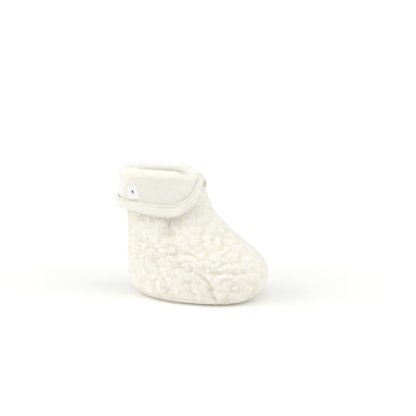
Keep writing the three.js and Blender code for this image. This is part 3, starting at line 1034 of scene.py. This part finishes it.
LABEL_AT = 4.12  # its angle, on the wearer's right near the back
LABEL_WIDTH = 10.0
LABEL_HEIGHT = 12.0
LABEL_LIFT = 1.2  # above the binding
LABEL_THICK = 0.3
LABEL_IN = OUTSIDE + 0.2  # the label's inner face, from the shaft's surface
LABEL_TILT = math.radians(9)
LABEL_ROW = 4.6  # half the length of its rows of stitches
LABEL_HEM = 5.4  # how far those are from its middle
LOZENGE_WIDTH = 1.0
LOZENGE_HEIGHT = 1.7


def on_label(across, up, out):
    """A point of the label, in millimetres across and up from its middle."""
    lean = across * math.cos(LABEL_TILT) - up * math.sin(LABEL_TILT)
    middle = float(binding_top(along_rim(np.array(LABEL_AT)))) + LABEL_LIFT + LABEL_HEIGHT / 2
    beside = cuff_point(LABEL_AT + 0.01, LABEL_IN, middle) - cuff_point(LABEL_AT, LABEL_IN, middle)
    angle = LABEL_AT + lean * 0.01 / np.linalg.norm(beside)
    return cuff_point(angle, out, middle + across * math.sin(LABEL_TILT) + up * math.cos(LABEL_TILT))


def flat_piece(name, across, up, out, thick, cloth):
    """A thin closed piece that bends with the cuff, from grids of places on the label."""
    face, back = on_label(across, up, out + thick), on_label(across, up, out)
    made = sheet(name, face, back, cloth)
    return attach(made, "cuff")


def woven_label():
    """A small woven label with a plain dark lozenge, sewn down at its top and its bottom."""
    across, up = np.meshgrid(np.linspace(-0.5, 0.5, 41), np.linspace(-0.5, 0.5, 49))
    hem = 0.12 * (smoothstep(np.abs(up), 0.40, 0.42) - smoothstep(np.abs(up), 0.48, 0.5))
    ripple = 0.06 * np.sin(up * 9) * np.cos(across * 5)
    across, up = across * LABEL_WIDTH, up * LABEL_HEIGHT
    label = flat_piece("woven_label_cloth", across, up, LABEL_IN + ripple, LABEL_THICK + hem, WOVEN)
    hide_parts("woven_label")
    wide, tall = np.meshgrid(np.linspace(-1, 1, 17), np.linspace(-1, 1, 17))
    lozenge = (LOZENGE_WIDTH * (wide - tall) / 2 - 0.2, LOZENGE_HEIGHT * (wide + tall) / 2 + 0.6)
    flat_piece("label_lozenge", *lozenge, LABEL_IN + LABEL_THICK - 0.1, 0.2, DARK_WOVEN)
    run = np.linspace(-LABEL_ROW, LABEL_ROW, 40)
    for name, height in (("label_top_stitches", LABEL_HEM), ("label_bottom_stitches", -LABEL_HEM)):
        level = np.full(len(run), height)
        path = on_label(run, level, LABEL_IN + LABEL_THICK + 0.2)
        outward = on_label(run, level, LABEL_IN + 1) - on_label(run, level, LABEL_IN)
        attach(stitches(name, path, outward, 0.13, length=1.3, gap=0.5), "cuff")


woven_label()


# Floor, light and camera

FLOOR = 3.0  # metres from the middle to the floor's edges
WORLD_LIGHT = 0.54


def stage():
    mesh = bpy.data.meshes.new("floor")
    corners = [(-1, -1), (1, -1), (1, 1), (-1, 1)]
    mesh.from_pydata([(FLOOR * x, FLOOR * y, 0) for x, y in corners], [], [(0, 1, 2, 3)])
    made, shader = material("pale_floor", (0.93, 0.93, 0.92), 0.9)
    mesh.materials.append(made)
    floor = bpy.data.objects.new("floor", mesh)
    bpy.context.scene.collection.objects.link(floor)


def direction(azimuth, elevation):
    """The way to something seen from the middle. At azimuth 0 it is -Y, and at 90 +X. In degrees."""
    a, e = math.radians(azimuth), math.radians(elevation)
    return Vector((math.sin(a) * math.cos(e), -math.cos(a) * math.cos(e), math.sin(e)))


def soft_sun(name, azimuth, elevation, strength, spread):
    """Soft light that comes from a direction."""
    data = bpy.data.lights.new(name, "SUN")
    data.energy = strength
    data.angle = math.radians(spread)
    light = bpy.data.objects.new(name, data)
    light.rotation_euler = (-direction(azimuth, elevation)).to_track_quat("-Z", "Y").to_euler()
    bpy.context.scene.collection.objects.link(light)


def studio():
    world = bpy.data.worlds.new("studio")
    world.use_nodes = True
    shade = world.node_tree.nodes["Background"]
    shade.inputs["Color"].default_value = (1, 1, 1, 1)
    shade.inputs["Strength"].default_value = WORLD_LIGHT
    bpy.context.scene.world = world
    soft_sun("left_light", -70, 32, strength=1.2, spread=50)
    soft_sun("right_light", 85, 35, strength=0.8, spread=50)
    soft_sun("top_light", 20, 75, strength=0.75, spread=60)


AZIMUTH = 10
ELEVATION = 18
LENS = 135.0
SENSOR = 36.0
VIEW_WIDTH = 0.343  # metres across the picture, at the bootie
RIGHT_OF_MIDDLE = 0.0128
ABOVE_GROUND = 0.0709


def camera():
    data = bpy.data.cameras.new("camera")
    data.lens = LENS
    data.sensor_width = SENSOR
    made = bpy.data.objects.new("camera", data)
    towards = direction(AZIMUTH, ELEVATION)
    right = Vector((math.cos(math.radians(AZIMUTH)), math.sin(math.radians(AZIMUTH)), 0))
    up = towards.cross(right)
    target = right * RIGHT_OF_MIDDLE + up * ABOVE_GROUND
    made.location = target + towards * (VIEW_WIDTH * LENS / SENSOR)
    made.rotation_euler = (-towards).to_track_quat("-Z", "Y").to_euler()
    bpy.context.scene.collection.objects.link(made)
    bpy.context.scene.camera = made


stage()
studio()
camera()
bpy.context.scene.view_settings.view_transform = "Standard"
bpy.context.scene.cycles.diffuse_bounces = 10
